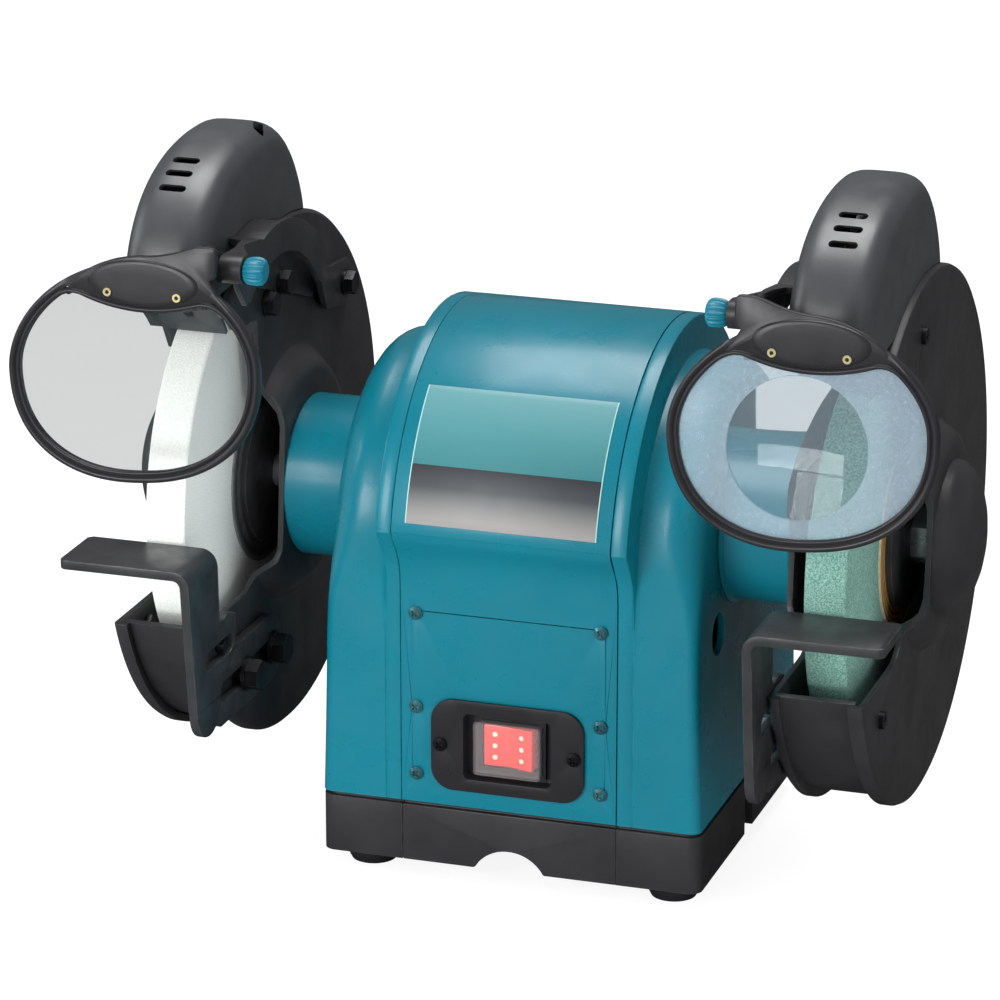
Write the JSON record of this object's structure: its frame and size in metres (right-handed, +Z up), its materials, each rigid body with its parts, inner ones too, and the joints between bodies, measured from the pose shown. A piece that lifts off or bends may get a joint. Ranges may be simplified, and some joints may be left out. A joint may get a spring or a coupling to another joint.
{
  "type": "bench grinder",
  "caption": "Bench grinder with a white and a green wheel on one motor shaft, guards, tool rests, spark arresters, work lamps and tilting eye shields.",
  "frame": {"origin": "centre of the four feet, on the bench", "axes": "+Z up, +X along the spindle to the right-hand wheel, the operator stands on the -Y side"},
  "size_m": [0.4249, 0.2643, 0.3393],
  "materials": {
    "teal_paint": "satin-gloss paint with a fine texture on sheet and cast metal",
    "black_paint": "satin black paint with a slight orange peel",
    "rubber": "dull moulded rubber",
    "teal_zinc": "zinc-plated cross-recess screws",
    "black_plastic": "fine-grained black moulded plastic",
    "black_screw": "blackened steel fasteners",
    "red_plastic": "glossy red-orange moulded plastic",
    "clear_plastic": "clear soft moulding over the switch",
    "badge_foil": "printed foil plate with two plain colour bands",
    "lamination": "stacked electrical steel",
    "copper_wire": "enamelled copper wire",
    "zinc": "zinc-plated steel",
    "capacitor_case": "smooth plastic case",
    "cream_plastic": "pale moulded terminal strip",
    "gland_rubber": "moulded gland",
    "bearing_steel": "ground bearing steel",
    "cast_aluminium": "die-cast aluminium",
    "white_abrasive": "white fused alumina grain",
    "green_abrasive": "green-grey silicon carbide grain",
    "bush_plastic": "moulded arbor bush",
    "blotter_paper": "compressed paper washers in a gold print",
    "blued_steel": "blackened steel plate with worn edges",
    "hood_plastic": "black moulded plastic",
    "socket_ceramic": "white lamp holder",
    "bulb_glass": "clear reflector bulb",
    "lens_clear": "clear polycarbonate with a faint grey tint",
    "lens_blue": "clear polycarbonate with a bluish tint",
    "magnifier_glass": "clear acrylic magnifier with a cool tint",
    "rivet_brass": "pale brass tubular rivets",
    "knob_plastic": "bright teal moulded plastic"
  },
  "bodies": {
    "machine": {"base_block_left": "black_paint", "base_block_right": "black_paint", "base_centre_pan": "black_paint", "rubber_feet": "rubber", "end_housing_left": "teal_paint", "end_housing_right": "teal_paint", "motor_shell": "teal_paint", "shell_screws": "teal_zinc", "switch_bezel": "black_plastic", "bezel_screws": "black_screw", "switch_body": "black_plastic", "switch_cover": "clear_plastic", "badge_plate": "badge_foil", "stator_core": "lamination", "stator_windings": "copper_wire", "tie_bolts": "zinc", "start_capacitor": "capacitor_case", "terminal_block": "cream_plastic", "cable_gland": "gland_rubber", "shaft_bearings": "bearing_steel", "guard_left": "black_paint", "guard_right": "black_paint", "guard_cover_left": "black_paint", "guard_cover_right": "black_paint", "cover_screws": "black_screw", "guard_bolts": "black_screw", "lamp_hood_left": "hood_plastic", "lamp_hood_right": "hood_plastic", "lamp_sockets": "socket_ceramic", "lamp_bulbs": "bulb_glass", "shield_bracket_left": "black_paint", "shield_bracket_right": "black_paint", "bracket_bolts": "black_screw", "rest_bolts": "black_screw"},
    "rotor": {"motor_shaft": "bearing_steel", "rotor_core": "lamination", "rotor_end_rings": "cast_aluminium", "wheel_left": "white_abrasive", "wheel_right": "green_abrasive", "arbor_bushings": "bush_plastic", "wheel_blotters": "blotter_paper", "inner_flanges": "blued_steel", "outer_flanges": "blued_steel", "wheel_nuts": "zinc"},
    "switch_rocker": {"switch_rocker": "red_plastic"},
    "tool_rest_left": {"tool_rest_left": "blued_steel"},
    "tool_rest_right": {"tool_rest_right": "blued_steel"},
    "spark_arrester_left": {"spark_arrester_left": "blued_steel"},
    "spark_arrester_right": {"spark_arrester_right": "blued_steel"},
    "eye_shield_left": {"shield_frame_left": "black_plastic", "shield_lens_left": "lens_clear", "shield_rivets_left": "rivet_brass"},
    "eye_shield_right": {"shield_frame_right": "black_plastic", "shield_lens_right": "lens_blue", "magnifier_lens": "magnifier_glass", "shield_rivets_right": "rivet_brass"},
    "shield_knob_left": {"shield_knob_left": "knob_plastic"},
    "shield_knob_right": {"shield_knob_right": "knob_plastic"}
  },
  "joints": [
    {"name": "spindle_spin", "type": "hinge", "parent": "machine", "child": "rotor", "pos_m": [0, -0.013, 0.168], "axis": [1, 0, 0], "continuous": true},
    {"name": "rocker_tilt", "type": "hinge", "parent": "machine", "child": "switch_rocker", "pos_m": [0, -0.077, 0.0695], "axis": [0, 0, 1], "range_deg": [0, 14]},
    {"name": "tool_rest_left_slide", "type": "slide", "parent": "machine", "child": "tool_rest_left", "axis": [0, 1, 0], "range_m": [-0.0045, 0.0025]},
    {"name": "spark_arrester_left_slide", "type": "slide", "parent": "machine", "child": "spark_arrester_left", "axis": [0, -0.5878, 0.809], "range_m": [0, 0.008]},
    {"name": "eye_shield_left_tilt", "type": "hinge", "parent": "machine", "child": "eye_shield_left", "pos_m": [-0.1236, -0.121, 0.2957], "axis": [-1, 0, 0], "range_deg": [-10, 80]},
    {"name": "shield_knob_left_turn", "type": "hinge", "parent": "machine", "child": "shield_knob_left", "pos_m": [-0.105, -0.121, 0.2957], "axis": [-1, 0, 0], "range_deg": [-360, 0]},
    {"name": "tool_rest_right_slide", "type": "slide", "parent": "machine", "child": "tool_rest_right", "axis": [0, 1, 0], "range_m": [-0.0045, 0.0025]},
    {"name": "spark_arrester_right_slide", "type": "slide", "parent": "machine", "child": "spark_arrester_right", "axis": [0, -0.5878, 0.809], "range_m": [0, 0.008]},
    {"name": "eye_shield_right_tilt", "type": "hinge", "parent": "machine", "child": "eye_shield_right", "pos_m": [0.1236, -0.121, 0.2957], "axis": [-1, 0, 0], "range_deg": [-10, 80]},
    {"name": "shield_knob_right_turn", "type": "hinge", "parent": "machine", "child": "shield_knob_right", "pos_m": [0.105, -0.121, 0.2957], "axis": [1, 0, 0], "range_deg": [-360, 0]}
  ]
}
